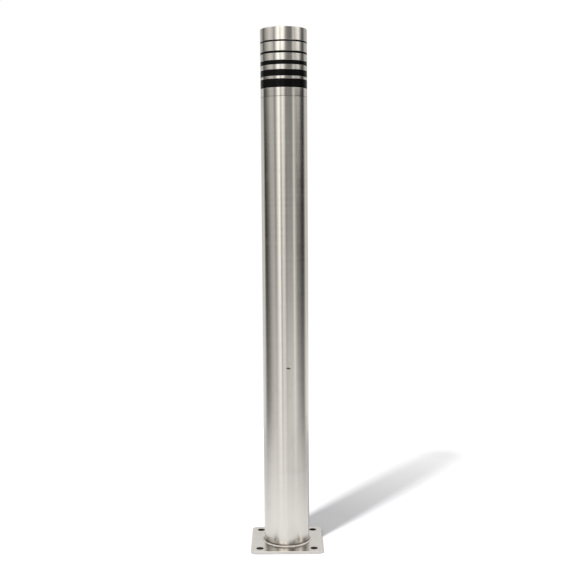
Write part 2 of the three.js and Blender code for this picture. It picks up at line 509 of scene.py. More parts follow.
def ringCorners(inner, outer, low, top, edge):
    return [(inner, low, edge), (outer, low, edge), (outer, top, edge), (inner, top, edge)]


# Place on a turned piece, over the tool's marks and along them, once around without a seam
def turnedPlace(tree, place):
    x, y, z = split(tree, place)
    radius = calc(tree, "MAXIMUM", length(tree, join(tree, x, y)), 0.2 * mm)
    spoke = join(tree, over(tree, x, radius), over(tree, y, radius))
    return plus(tree, z, radius), scale(tree, spoke, 45 * mm)


# Effects that several finishes share, as groups. The first holds the fine lines left by turning,
# grinding or brushing, and broader bands of more or less polish.
def grainGroup():
    tree, given, made = newTree("grain", "ShaderNodeTree", [
        ("Across", "Float", 0.0),
        ("Along", "Vector", None),
        ("Spacing", "Float", 0.4 * mm),
        ("Length", "Float", 40 * mm),
    ], [("Fine", "Float"), ("Broad", "Float")])
    across = over(tree, given["Across"], given["Spacing"])
    along = scale(tree, given["Along"], over(tree, 1.0, given["Length"]))
    lines = put(tree, "ShaderNodeVectorMath", {0: along, 1: join(tree, z=across)}, operation="ADD")
    fine = rescale(tree, noise(tree, lines.outputs[0], 1.0, 3.0, 0.65), 0.28, 0.72)
    wide = {0: scale(tree, along, 0.6), 1: join(tree, z=over(tree, across, 16.0))}
    bands = put(tree, "ShaderNodeVectorMath", wide, operation="ADD")
    broad = rescale(tree, noise(tree, bands.outputs[0], 1.0, 2.0, 0.5), 0.3, 0.7)
    tree.links.new(fine, made["Fine"])
    tree.links.new(broad, made["Broad"])
    return tree


# Traces of handling: soft smudges from hands, and sparse hairline scratches in two directions
def handlingGroup():
    tree, given, made = newTree("handling", "ShaderNodeTree", [
        ("Position", "Vector", None),
        ("Smudge Size", "Float", 45 * mm),
        ("Scratches", "Float", 0.5),
    ], [("Smudge", "Float"), ("Scratch", "Float")])
    size = over(tree, 1.0, given["Smudge Size"])
    patches = noise(tree, given["Position"], size, 3.0, 0.55, 0.6)
    dabs = noise(tree, given["Position"], times(tree, size, 6.0))
    smudge = times(tree, rescale(tree, patches, 0.5, 0.72, smooth=True),
                   rescale(tree, dabs, 0.3, 0.65, 0.35, 1.0))
    tree.links.new(smudge, made["Smudge"])
    lines = None
    for lean, shift in ((0.5, 0.0), (-0.9, 7.3)):
        leaned = put(tree, "ShaderNodeVectorRotate", {
            "Vector": given["Position"], "Angle": lean, "Axis": (0.6, 1.0, 0.25)})
        stretched = put(tree, "ShaderNodeMapping", {
            "Vector": leaned.outputs[0], "Location": (shift, shift, 0), "Scale": (420, 5, 420)})
        ridge = noise(tree, stretched.outputs[0], 1.0, 0.0)
        off = calc(tree, "ABSOLUTE", minus(tree, ridge, 0.5))
        where = noise(tree, given["Position"], 45.0 + shift)
        line = times(tree, rescale(tree, off, 0.0, 0.016, 1.0, 0.0), rescale(tree, where, 0.6, 0.68))
        lines = line if lines is None else calc(tree, "MAXIMUM", lines, line)
    tree.links.new(times(tree, lines, given["Scratches"]), made["Scratch"])
    return tree


# Heat tint beside a weld: soot brown at the toe, then bronze, blue and straw, then clean steel
tintTones = [(0.0, (0.11, 0.084, 0.068)), (0.16, (0.23, 0.18, 0.14)), (0.32, (0.37, 0.31, 0.25)),
             (0.5, (0.36, 0.35, 0.36)), (0.7, (0.57, 0.53, 0.45)), (1.0, (0.64, 0.61, 0.57))]


def heatTintGroup():
    tree, given, made = newTree("heatTint", "ShaderNodeTree", [
        ("Distance", "Float", 0.0),
        ("Position", "Vector", None),
        ("Reach", "Float", 9 * mm),
    ], [("Colour", "Color"), ("Share", "Float")])
    wander = noise(tree, given["Position"], 70.0, 3.0, 0.6)
    share = over(tree, given["Distance"], given["Reach"])
    share = plus(tree, share, rescale(tree, wander, 0.25, 0.75, -0.16, 0.16))
    tree.links.new(rampColour(tree, share, tintTones), made["Colour"])
    tree.links.new(rescale(tree, share, 0.0, 1.0, 1.0, 0.0, smooth=True), made["Share"])
    return tree


# Rubbed edges, from the attribute that the lathe and the plate leave, broken up by noise
def rubbedGroup():
    tree, given, made = newTree("rubbedEdge", "ShaderNodeTree", [
        ("Edge", "Float", 0.0),
        ("Position", "Vector", None),
    ], [("Rubbed", "Float")])
    patchy = rescale(tree, noise(tree, given["Position"], 260.0, 3.0, 0.6), 0.3, 0.7, -0.35, 0.35)
    raised = plus(tree, given["Edge"], patchy)
    tree.links.new(rescale(tree, raised, 0.45, 1.0, smooth=True), made["Rubbed"])
    return tree


# Painted shade in the joint at one height around the post: a dark line where the collar meets the
# tube
def paintedSeamShadeGroup():
    tree, given, made = newTree("paintedSeamShade", "ShaderNodeTree", [
        ("Position", "Vector", None),
        ("Height", "Float", 0.0),
        ("Width", "Float", 0.4 * mm),
    ], [("Painted Shade", "Float")])
    height = split(tree, given["Position"])[2]
    away = calc(tree, "ABSOLUTE", minus(tree, height, given["Height"]))
    away = over(tree, away, given["Width"])
    patchy = rescale(tree, noise(tree, given["Position"], 120.0, 3.0, 0.6), 0.3, 0.7, -0.12, 0.12)
    near = rescale(tree, plus(tree, away, patchy), 0.55, 1.0, 1.0, 0.0, smooth=True)
    tree.links.new(near, made["Painted Shade"])
    return tree


def newFinish(name, settings):
    finish = bpy.data.materials.new(name)
    finish.use_nodes = True
    tree = finish.node_tree
    shader = tree.nodes["Principled BSDF"]
    shader.inputs["Metallic"].default_value = settings.get("metallic", 1.0)
    place = put(tree, "ShaderNodeTexCoord").outputs["Object"]
    return finish, tree, shader.inputs, place


# How rubbed the piece's edges are at each place
def edgeOf(tree, place):
    edge = put(tree, "ShaderNodeAttribute", attribute_name="edge").outputs["Fac"]
    return useGroup(tree, rubbedEdge, {"Edge": edge, "Position": place})["Rubbed"]


# Every finish ends alike: its colour, how rough it is, and a fine relief
def dress(tree, inputs, colour, rough, height, depth):
    feed(tree, inputs["Base Color"], colour)
    feed(tree, inputs["Roughness"], rough)
    bump = put(tree, "ShaderNodeBump", {"Height": height, "Distance": depth})
    tree.links.new(bump.outputs[0], inputs["Normal"])


# Adds up a start value and (value, weight) pairs
def addUp(tree, start, *terms):
    total = start
    for value, weight in terms:
        total = calc(tree, "MULTIPLY_ADD", value, weight, total)
    return total


# Colour and roughness of a finish. The settings say how much each named effect adds to them.
def blend(tree, settings, effects):
    starts = {"tone": settings.get("baseTone", 1.0), "rough": settings["roughness"]}
    sums = [addUp(tree, start, *((effects[name], share) for name, share in settings[kind].items()))
            for kind, start in starts.items()]
    return scale(tree, settings["colour"], sums[0]), sums[1]


# The finish of every turned or ground piece: lines around, smudges, scratches and rubbed edges
def turnedFinish(name, settings):
    finish, tree, inputs, place = newFinish(name, settings)
    across, along = turnedPlace(tree, place)
    lines = useGroup(tree, grain, {"Across": across, "Along": along,
                                   "Spacing": settings["spacing"], "Length": settings["length"]})
    marks = useGroup(tree, handling, {"Position": place, "Scratches": settings["scratches"]})
    effects = {"line": minus(tree, lines["Fine"], 0.5), "band": minus(tree, lines["Broad"], 0.5),
               "smudge": marks["Smudge"], "scratch": marks["Scratch"], "edge": edgeOf(tree, place)}
    colour, rough = blend(tree, settings, effects)
    # Painted shade darkens the joint where the collar sits on the tube
    seamShade = useGroup(tree, paintedSeamShade, {"Position": place, "Height": topZ("post_tube"),
                                        "Width": seam["width"]})["Painted Shade"]
    colour = mixColour(tree, seamShade, colour, seam["colour"])
    rough = addUp(tree, rough, (seamShade, seam["rough"]))
    height = addUp(tree, lines["Fine"], (marks["Scratch"], scratchDepth))
    return finish, tree, inputs, place, colour, rough, height


def plainTurnedFinish(name, settings):
    finish, tree, inputs, _, colour, rough, height = turnedFinish(name, settings)
    dress(tree, inputs, colour, rough, height, settings["lineDepth"])
    return finish


# How deep a scratch is, in depths of the fine lines
scratchDepth = -1.5

# The joint where the head's collar meets the tube, with the colour of the shade painted into it
seam = {"edge": 0.3 * mm, "width": 0.42 * mm, "colour": (0.035, 0.03, 0.026), "rough": 0.25}

# Post tube: ground around, welded to the plate, with two holes behind for the grub screws
tube = {"wall": 3 * mm, "edge": 0.3 * mm, "holeRadius": 3 * mm, "holeChamfer": 0.4 * mm,
        "holeAngles": (45, 135), "holeBelowTop": 30 * mm, "holdBeside": 5 * mm,
        "drillStart": 2 * mm, "facets": 192, "creaseAngle": 35}

brushed = {"colour": (0.665, 0.64, 0.592), "roughness": 0.195, "anisotropy": 0.85,
           "grainTurn": 0.25, "spacing": 0.3 * mm, "length": 70 * mm, "lineDepth": 0.0008 * mm,
           "tone": {"line": 0.07, "band": 0.02, "smudge": -0.05, "scratch": -0.2, "edge": 0.05},
           "rough": {"line": 0.03, "band": 0.01, "smudge": 0.03, "scratch": 0.08, "edge": -0.04},
           "scratches": 0.5, "dentHeight": 0.3575, "dentAngle": 5.9, "dentLean": 0.12,
           "dentSize": (6.5 * mm, 2.3 * mm), "dentColour": (0.09, 0.075, 0.062),
           "dentRough": 0.2, "dentDepth": -12.0, "tintRough": 0.12}


def brushedTubeFinish():
    finish, tree, inputs, place, colour, rough, height = turnedFinish("brushedTube", brushed)
    x, y, z = split(tree, place)

    # A knock on the front has left one dark, dull mark
    turnTo = math.radians(brushed["dentAngle"])
    sideways = minus(tree, x, reach("post_tube") * math.sin(turnTo))
    upwards = minus(tree, z, brushed["dentHeight"])
    upwards = addUp(tree, upwards, (sideways, brushed["dentLean"]))
    wide, high = brushed["dentSize"]
    spread = join(tree, over(tree, sideways, wide), over(tree, upwards, high))
    ragged = rescale(tree, noise(tree, place, 420.0, 3.0, 0.65), 0.25, 0.75, -0.4, 0.4)
    away = plus(tree, length(tree, spread), ragged)
    dent = rescale(tree, away, 0.35, 1.0, 1.0, 0.0, smooth=True)
    dent = times(tree, dent, calc(tree, "LESS_THAN", y, 0.0))
    colour = mixColour(tree, dent, colour, brushed["dentColour"])

    # Heat tint from the weld
    foot = topZ("base_plate") + weld["leg"]
    tint = useGroup(tree, heatTint, {"Distance": minus(tree, z, foot), "Position": place,
                                     "Reach": weld["tintReach"]})
    colour = mixColour(tree, tint["Share"], colour, tint["Colour"])
    rough = addUp(tree, rough, (dent, brushed["dentRough"]), (tint["Share"], brushed["tintRough"]))
    feed(tree, inputs["Anisotropic"], brushed["anisotropy"])
    feed(tree, inputs["Anisotropic Rotation"], brushed["grainTurn"])
    around = put(tree, "ShaderNodeTangent", direction_type="UV_MAP")
    around.uv_map = "UVMap"
    feed(tree, inputs["Tangent"], around.outputs[0])
    height = addUp(tree, height, (dent, brushed["dentDepth"]))
    dress(tree, inputs, colour, rough, height, brushed["lineDepth"])
    return finish


# Placement of a grub screw or its hole: its own Z points straight out of the tube at the angle
def screwPlace(angle):
    height = topZ("post_tube") - tube["holeBelowTop"]
    aim = Matrix.Rotation(math.radians(angle), 4, "Z") @ Matrix.Rotation(math.pi / 2, 4, "Y")
    return Matrix.Translation((0, 0, height)) @ aim


def makeTube(finish):
    outer, low, top = reach("post_tube"), lowZ("post_tube"), topZ("post_tube")
    inner, edge = outer - tube["wall"], tube["edge"]
    middle = top - tube["holeBelowTop"]
    under, past = middle - tube["holdBeside"], middle + tube["holdBeside"]
    corners = [(inner, low, edge), (outer, low, edge), (outer, under, 0), (outer, past, 0),
               (outer, top, edge), (inner, top, edge), (inner, past, 0), (inner, under, 0)]
    holder = addObject("tubeBlank", turn("tube", corners, finish, facets=tube["facets"]))
    radius, chamfer = tube["holeRadius"], tube["holeChamfer"]
    start = inner - tube["drillStart"]
    drill = [(0, start, 0), (radius, start, 0), (radius, outer - chamfer, 0),
             (radius + 3 * chamfer, outer + 2 * chamfer, 0), (0, outer + 2 * chamfer, 0)]
    cutters = []
    for angle in tube["holeAngles"]:
        tip = turn("drill", drill, finish, facets=48, closed=False)
        tip.transform(screwPlace(angle))
        cutters.append(addObject("drill", tip))
        hole = holder.modifiers.new("hole", "BOOLEAN")
        hole.object = cutters[-1]
        hole.solver = "EXACT"
    drilled = plainMesh("tube", holder)
    for cutter in cutters:
        bpy.data.objects.remove(cutter)
    drilled.set_sharp_from_angle(angle=math.radians(tube["creaseAngle"]))
    finishPiece("tube", drilled, finish, "post", "post_tube")


# Base plate: cut plate with rounded corners, four anchor holes and a drain hole
plate = {"corner": 10 * mm, "edge": 0.7 * mm, "anchorSpacing": 105 * mm, "anchorRadius": 7 * mm,
         "drainRadius": 15 * mm, "holeEdge": 0.45 * mm, "hold": 0.5 * mm}

satin = {"colour": (0.69, 0.666, 0.625), "roughness": 0.2, "spacing": 0.45 * mm,
         "length": 22 * mm, "lineDepth": 0.0015 * mm, "mottleDepth": 0.6, "mottleScale": 90.0,
         "tone": {"line": 0.1, "band": 0.05, "mottle": 0.07, "edge": 0.1, "side": -0.15,
                  "smudge": -0.08, "scratch": -0.2},
         "rough": {"line": 0.12, "band": 0.06, "mottle": 0.06, "smudge": 0.08, "scratch": 0.15,
                   "edge": -0.08, "ring": 0.1, "holeShade": 0.3, "tint": 0.08},
         "smudgeSize": 60 * mm, "scratches": 0.9,
         # The colour of the painted shade in the anchor holes, and how far past their walls it
         # reaches
         "holeShadeColour": (0.22, 0.2, 0.18), "holeShadeSpan": (0.05 * mm, 0.5 * mm),
         "washerRadius": 12.5 * mm, "washerWidth": 1.2 * mm, "washerColour": (0.42, 0.41, 0.39),
         "washerShare": 0.3}


def plateRim(inset):
    half = reach("base_plate")
    corner = plate["corner"]
    points = []
    for quarter in range(4):
        middle = (quarter + 0.5) * math.pi / 2
        centre = Vector((math.copysign(half - corner, math.cos(middle)),
                         math.copysign(half - corner, math.sin(middle))))
        for i in range(13):
            angle = (quarter + i / 12) * math.pi / 2
            spoke = Vector((math.cos(angle), math.sin(angle)))
            points.append(centre + spoke * (corner - inset))
    return points


def holeRim(x, y, radius, inset, steps=48):
    angles = [-math.tau * i / steps for i in range(steps)]
    spokes = [Vector((math.cos(angle), math.sin(angle))) for angle in angles]
    return [Vector((x, y)) + spoke * (radius + inset) for spoke in spokes]


def makePlate(finish):
    low, top = lowZ("base_plate"), topZ("base_plate")
    half = plate["anchorSpacing"] / 2
    holes = [(x, y, plate["anchorRadius"]) for x in (-half, half) for y in (-half, half)]
    holes.append((0, 0, plate["drainRadius"]))
    rims = [(plateRim, plate["edge"])]
    for x, y, radius in holes:
        rims.append((lambda inset, x=x, y=y, radius=radius: holeRim(x, y, radius, inset),
                     plate["holeEdge"]))
    shape = bmesh.new()
    mark = shape.verts.layers.float.new("edge")
    lids = {low: [], top: []}
    for rim, edge in rims:
        hold = plate["hold"]
        rows = [(edge + hold, low, 0), (edge, low, 1)]
        turns = [math.pi / 2 * i / 4 for i in range(1, 5)]
        rows += [(edge * (1 - math.sin(t)), low + edge * (1 - math.cos(t)), 1) for t in turns]
        rows.append((0, low + edge + hold, 0))
        rows += [(inset, low + top - height, mark) for inset, height, mark in reversed(rows)]
        loops = []
        for inset, height, level in rows:
            loop = [shape.verts.new((*point, height)) for point in rim(inset)]
            for vert in loop:
                vert[mark] = level
            loops.append(loop)
        for under, upper in zip(loops, loops[1:]):
            for i in range(len(under)):
                j = (i + 1) % len(under)
                shape.faces.new((under[i], under[j], upper[j], upper[i]))
        for height, loop in ((low, loops[0]), (top, loops[-1])):
            lids[height] += [shape.edges.get((loop[i - 1], loop[i])) for i in range(len(loop))]
    for edges in lids.values():
        bmesh.ops.triangle_fill(shape, use_beauty=True, edges=edges)
    bmesh.ops.recalc_face_normals(shape, faces=shape.faces)
    for face in shape.faces:
        face.smooth = True
    finishPiece("plate", meshFrom("plate", shape, finish), finish, "post", "base_plate")


# Satin plate: straight grain from side to side, painted shade on the anchor holes' walls, rings
# rubbed by washers
def satinPlateFinish():
    finish, tree, inputs, place = newFinish("satinPlate", satin)
    x, y, z = split(tree, place)
    lines = useGroup(tree, grain, {"Across": plus(tree, y, z), "Along": join(tree, x),
                                   "Spacing": satin["spacing"], "Length": satin["length"]})
    marks = useGroup(tree, handling, {"Position": place, "Smudge Size": satin["smudgeSize"],
                                      "Scratches": satin["scratches"]})
    mottle = noise(tree, place, satin["mottleScale"], 4.0, 0.65)
    mottle = rescale(tree, mottle, 0.3, 0.7, -0.5, 0.5)
    upright = split(tree, put(tree, "ShaderNodeNewGeometry").outputs["True Normal"])[2]
    side = rescale(tree, calc(tree, "ABSOLUTE", upright), 0.1, 0.6, 1.0, 0.0)

    # Distance from the nearest anchor hole
    anchor = foldedOff(tree, x, y, plate["anchorSpacing"] / 2)
    away = length(tree, join(tree, *anchor))
    # The anchor holes' walls and rims are painted dark: painted shade in the holes
    start, end = [plate["anchorRadius"] + step for step in satin["holeShadeSpan"]]
    holeShade = rescale(tree, away, start, end, 1.0, 0.0)
    ring = calc(tree, "ABSOLUTE", minus(tree, away, satin["washerRadius"]))
    ring = rescale(tree, ring, 0.0, satin["washerWidth"], 1.0, 0.0, smooth=True)
    ring = times(tree, ring, rescale(tree, noise(tree, place, 130.0), 0.42, 0.6))

    # Heat tint around the weld, on the upper face only
    toe = reach("post_tube") + weld["leg"]
    tint = useGroup(tree, heatTint, {
        "Distance": minus(tree, length(tree, join(tree, x, y)), toe), "Position": place,
        "Reach": weld["plateTintReach"]})
    upper = calc(tree, "GREATER_THAN", z, topZ("base_plate") / 2)
    share = times(tree, tint["Share"], times(tree, upper, weld["plateTint"]))
    share = times(tree, share, minus(tree, 1.0, holeShade))
    colour, rough = blend(tree, satin, {
        "line": minus(tree, lines["Fine"], 0.5), "band": minus(tree, lines["Broad"], 0.5),
        "mottle": mottle, "edge": edgeOf(tree, place), "side": side, "smudge": marks["Smudge"],
        "scratch": marks["Scratch"], "ring": ring, "holeShade": holeShade, "tint": share})
    ringShare = times(tree, ring, satin["washerShare"])
    colour = mixColour(tree, ringShare, colour, satin["washerColour"])
    # Painted shade on the anchor holes' walls
    colour = mixColour(tree, holeShade, colour, satin["holeShadeColour"])
    colour = mixColour(tree, share, colour, tint["Colour"])
    height = addUp(tree, lines["Fine"], (marks["Scratch"], scratchDepth),
                   (mottle, satin["mottleDepth"]))
    dress(tree, inputs, colour, rough, height, satin["lineDepth"])
    return finish


# Fillet weld around the tube's foot: overlapping crescents, a leg that wavers
weld = {"leg": 2.8 * mm, "ripples": 180, "rippleHeight": 0.11 * mm, "waver": 0.16, "bow": 0.9,
        "hollow": 0.1, "seed": 7, "tintReach": 4.5 * mm, "plateTintReach": 1.8 * mm,
        "plateTint": 0.6}

weldSteel = {"colour": (0.85, 0.82, 0.77), "roughness": 0.2, "tintReach": 2.2 * mm,
             "gritDepth": 0.015 * mm, "tone": {"patch": -0.12, "speck": 0.25},
             "rough": {"patch": 0.12, "grit": 0.08, "tint": 0.2}}


def weldTree():
    tree, given, made = newTree("weldBead", "GeometryNodeTree", [
        ("Start", "Geometry", None),
        ("Foot", "Float", 6 * mm),
        ("Tube Radius", "Float", 44 * mm),
        ("Leg", "Float", 4 * mm),
        ("Ripples", "Int", 150),
        ("Ripple Height", "Float", 0.1 * mm),
        ("Bow", "Float", 1.0),
        ("Hollow", "Float", 0.1),
        ("Waver", "Float", 0.1),
        ("Seed", "Int", 1),
        ("Crease Angle", "Float", math.radians(50)),
        ("Finish", "Material", None),
    ], [("Piece", "Geometry")])
    rows, stepsPerRipple = 15, 6
    columns = plus(tree, times(tree, given["Ripples"], stepsPerRipple), 1)
    sheet, lap, row = startRound(tree, columns, rows)
    angle = times(tree, lap, math.tau)
    lift = rescale(tree, row, 1.0, rows - 2.0, 0.0, math.pi / 2)
    cosine, sine = calc(tree, "COSINE", lift), calc(tree, "SINE", lift)
    middle = calc(tree, "SINE", times(tree, lift, 2.0))

    # Leg length wavers around the post, the same where the ends meet
    spoke = join(tree, calc(tree, "COSINE", angle), calc(tree, "SINE", angle), given["Seed"])
    wander = rescale(tree, noise(tree, spoke, 5.0, 3.0, 0.6), 0.25, 0.75, -1.0, 1.0)
    leg = times(tree, given["Leg"], addUp(tree, 1.0, (wander, given["Waver"])))
    face = over(tree, leg, plus(tree, cosine, sine))
    face = times(tree, face, minus(tree, 1.0, times(tree, middle, given["Hollow"])))

    # Crescents: the wave lags in the middle of the bead
    beat = times(tree, lap, given["Ripples"])
    beat = minus(tree, beat, times(tree, middle, given["Bow"]))
    phase = times(tree, beat, math.tau)
    overtone = calc(tree, "SINE", times(tree, phase, 2.0))
    wave = addUp(tree, calc(tree, "SINE", phase), (overtone, 0.35))
    swell = times(tree, wave, calc(tree, "POWER", middle, 0.6))
    face = addUp(tree, face, (swell, given["Ripple Height"]))
    ends = times(tree, calc(tree, "GREATER_THAN", row, 0.5),
                 calc(tree, "LESS_THAN", row, rows - 1.5))
    face = times(tree, face, ends)
    out = addUp(tree, given["Tube Radius"], (face, cosine))
    high = addUp(tree, given["Foot"], (face, sine))
    finishTree(tree, wrapRound(tree, sheet, out, high, angle), given, made)
    return tree


def makeWeld(finish):
    values = {"Foot": topZ("base_plate"), "Tube Radius": reach("post_tube"), "Leg": weld["leg"],
              "Ripples": weld["ripples"], "Ripple Height": weld["rippleHeight"],
              "Bow": weld["bow"], "Hollow": weld["hollow"], "Waver": weld["waver"],
              "Seed": weld["seed"], "Finish": finish}
    mesh = runTree("weld_bead", weldTree(), bpy.data.meshes.new("weldStart"), values)
    finishPiece("weld_bead", mesh, finish, "post", "base_weld")


def weldFinish():
    finish, tree, inputs, place = newFinish("weldMetal", weldSteel)
    x, y = split(tree, place)[:2]
    fromTube = minus(tree, length(tree, join(tree, x, y)), reach("post_tube"))
    tint = useGroup(tree, heatTint, {"Distance": fromTube, "Position": place,
                                     "Reach": weldSteel["tintReach"]})
    patches = rescale(tree, noise(tree, place, 60.0, 4.0, 0.6), 0.35, 0.7)
    grit = noise(tree, place, 900.0, 3.0, 0.6)
    colour, rough = blend(tree, weldSteel, {
        "patch": patches, "speck": minus(tree, grit, 0.5), "grit": grit, "tint": tint["Share"]})
    colour = mixColour(tree, tint["Share"], colour, tint["Colour"])
    dress(tree, inputs, colour, rough, grit, weldSteel["gritDepth"])
    return finish


# Grub screws: threaded, with a hex socket, one tree run at each place and joined into one piece
grub = {"radius": 2.7 * mm, "length": 4 * mm, "tipOut": 40.3 * mm, "socket": 1.5 * mm,
        "socketDepth": 2 * mm, "chamfer": 0.35 * mm, "pitch": 0.8 * mm, "threadDepth": 0.3 * mm,
        "edge": 0.1 * mm, "mouthWidth": 1.25, "cornerWidth": 1.2, "mouthDepth": 0.15 * mm,
        "drillPoint": 0.5 * mm}

zincPlate = {"colour": (0.56, 0.57, 0.58), "roughness": 0.33, "crystal": 2.4 * mm,
             "baseTone": 0.94, "tone": {"shade": 0.12, "edge": 0.12},
             "rough": {"shade": 0.1, "bloom": 0.25, "edge": -0.06},
             "filmColour": (0.6, 0.53, 0.36), "filmShare": 0.3,
             "bloomColour": (0.75, 0.75, 0.73), "bloomShare": 0.35,
             "depth": 0.01 * mm, "shadeDepth": 0.4}


def makeGrubScrews(finish):
    radius, chamfer, face = grub["radius"], grub["chamfer"], grub["length"]
    flat, floor = grub["socket"], face - grub["socketDepth"]
    mouth, corner = grub["mouthWidth"] * flat, grub["cornerWidth"] * flat
    corners = [(0, 0, 0), (radius - chamfer, 0, grub["edge"])]
    corners += threadCorners(radius, chamfer, face - chamfer, grub["pitch"], grub["threadDepth"])
    corners += [(radius - chamfer, face, grub["edge"]), (mouth, face, 0),
                (corner, face - grub["mouthDepth"], 0, flat), (corner, floor, 0, flat),
                (0, floor - grub["drillPoint"], 0)]
    joined = bmesh.new()
    for angle in tube["holeAngles"]:
        screw = turn("grubScrew", corners, finish, facets=48, closed=False, pitch=grub["pitch"])
        screw.transform(screwPlace(angle) @ Matrix.Translation((0, 0, grub["tipOut"])))
        joined.from_mesh(screw)
        bpy.data.meshes.remove(screw)
    mesh = meshFrom("grub_screws", joined, finish)
    finishPiece("grub_screws", mesh, finish, "post", "grub_screw_left", "grub_screw_right")


def zincFinish():
    finish, tree, inputs, place = newFinish("zincPlated", zincPlate)
    crystals = put(tree, "ShaderNodeTexVoronoi", {
        "Vector": place, "Scale": 1 / zincPlate["crystal"]}).outputs["Color"]
    shade = split(tree, crystals)[0]
    film = rescale(tree, noise(tree, place, 180.0, 3.0, 0.6), 0.4, 0.7)
    bloom = rescale(tree, noise(tree, place, 420.0, 4.0, 0.7), 0.58, 0.72)
    effects = {"shade": shade, "bloom": bloom, "edge": edgeOf(tree, place)}
    colour, rough = blend(tree, zincPlate, effects)
    for layer, cover in (("film", film), ("bloom", bloom)):
        share = times(tree, cover, zincPlate[f"{layer}Share"])
        colour = mixColour(tree, share, colour, zincPlate[f"{layer}Colour"])
    height = addUp(tree, bloom, (shade, zincPlate["shadeDepth"]))
    dress(tree, inputs, colour, rough, height, zincPlate["depth"])
    return finish


# Head: turned collar with its spigot, flush bands in turn, and the cap
machined = {"colour": (0.69, 0.664, 0.625), "roughness": 0.15, "spacing": 0.3 * mm,
            "length": 120 * mm, "lineDepth": 0.0008 * mm, "scratches": 0.5,
            "tone": {"line": 0.07, "band": 0.03, "smudge": -0.06, "scratch": -0.2, "edge": 0.08},
            "rough": {"line": 0.07, "band": 0.04, "smudge": 0.07, "scratch": 0.12, "edge": -0.04}}

polymer = {"metallic": 0.0, "colour": (0.0025, 0.0025, 0.0027), "roughness": 0.15,
           "specular": 0.06, "spacing": 0.35 * mm, "length": 90 * mm, "lineDepth": 0.002 * mm,
           "scratches": 0.5,
           "tone": {"line": 0.3, "band": 0.2, "smudge": 0.6, "scratch": 4.0, "edge": 2.2},
           "rough": {"line": 0.06, "band": 0.04, "smudge": 0.12, "scratch": 0.2, "edge": 0.12}}

collar = {"spigotLength": 50 * mm, "spigotBore": 35 * mm, "relief": 40 * mm, "land": 41.15 * mm,
          "landLength": 19 * mm, "grooveFloor": 38.75 * mm, "grooveWidth": 4 * mm,
          "edge": 0.25 * mm, "softEdge": 0.2 * mm, "boreEdge": 0.3 * mm, "taper": 1 * mm,
          "bore": 38.3 * mm, "floorTop": 4 * mm, "floorThickness": 8 * mm, "rodHole": 6.5 * mm}

cap = {"ceiling": 6 * mm, "boss": 12 * mm, "threadBore": 6.3 * mm, "threadLength": 15 * mm,
       "topEdge": 1.2 * mm, "grooveUp": 4.5 * mm, "grooveFloor": 40.7 * mm,
       "grooveWidth": 4 * mm, "edge": 0.25 * mm, "softEdge": 0.2 * mm, "bossEdge": 0.4 * mm,
       "bossFillet": 0.8 * mm, "boreFillet": 0.6 * mm}


def blackFinish():
    finish = plainTurnedFinish("glossBlack", polymer)
    shader = finish.node_tree.nodes["Principled BSDF"]
    shader.inputs["Specular IOR Level"].default_value = polymer["specular"]
    return finish


def makeCollar(finish):
    low, top = topZ("post_tube"), lowZ("black_ring_5")
    bottom, landLow = low - collar["spigotLength"], low - collar["landLength"]
    outer, land, waist = reach("head_collar"), collar["land"], collar["relief"]
    grooveTop, grooveLow = low - collar["grooveWidth"], low - 2 * collar["grooveWidth"]
    floorTop = top - collar["floorTop"]
    floorLow = floorTop - collar["floorThickness"]
    floor, taper = collar["grooveFloor"], collar["taper"]
    edge, soft = collar["edge"], collar["softEdge"]
    bore, hole, inside = collar["bore"], collar["rodHole"], collar["boreEdge"]
    spigotBore = collar["spigotBore"]
    corners = [
        (spigotBore, bottom, inside), (waist - taper, bottom, soft), (waist, bottom + taper, soft),
        (waist, landLow - taper, soft), (land, landLow, soft), (land, grooveLow, soft),
        (floor, grooveLow, soft), (floor, grooveTop, soft), (land, grooveTop, soft),
        (land, low, soft), (outer, low, seam["edge"]), (outer, top, edge), (bore, top, edge),
        (bore, floorTop, inside), (hole, floorTop, inside), (hole, floorLow, inside),
        (spigotBore, floorLow, inside)]
    turnHeadPiece("collar", "head_collar", corners, finish)


def makeBands(steelFinish, blackFinish):
    for count, kind, finish in ((5, "black", blackFinish), (4, "steel", steelFinish)):
        for i in range(1, count + 1):
            node = f"{kind}_ring_{i}"
            corners = ringCorners(collar["bore"], reach(node), lowZ(node), topZ(node),
                                  collar["edge"])
            turnHeadPiece(f"{kind}_band_{i}", node, corners, finish)


def makeCap(finish):
    low, top, outer = lowZ("head_cap"), topZ("head_cap"), reach("head_cap")
    threadTop, ceiling = low + cap["threadLength"], top - cap["ceiling"]
    grooveLow = low + cap["grooveUp"]
    grooveTop = grooveLow + cap["grooveWidth"]
    bore, thread, boss = collar["bore"], cap["threadBore"], cap["boss"]
    floor, edge, soft = cap["grooveFloor"], cap["edge"], cap["softEdge"]
    corners = [
        (0, threadTop, 0), (thread, threadTop, 0), (thread, low, cap["bossEdge"]),
        (boss, low, cap["bossEdge"]), (boss, ceiling, cap["bossFillet"]),
        (bore, ceiling, cap["boreFillet"]), (bore, grooveTop, soft), (floor, grooveTop, soft),
        (floor, grooveLow, soft), (bore, grooveLow, soft), (bore, low, edge), (outer, low, edge),
        (outer, top, cap["topEdge"]), (0, top, 0)]
    turnHeadPiece("cap", "head_cap", corners, finish, closed=False)


# Seals in the collar's and the cap's grooves
seal = {"spigotCentre": 40.1 * mm, "capCentre": 39.35 * mm, "thickness": 1.05 * mm}

rubber = {"metallic": 0.0, "colour": (0.012, 0.012, 0.012), "roughness": 0.5, "baseTone": 0.7,
          "tone": {"film": 1.6, "grit": 0.5}, "rough": {"film": 0.2}, "gritDepth": 0.02 * mm}


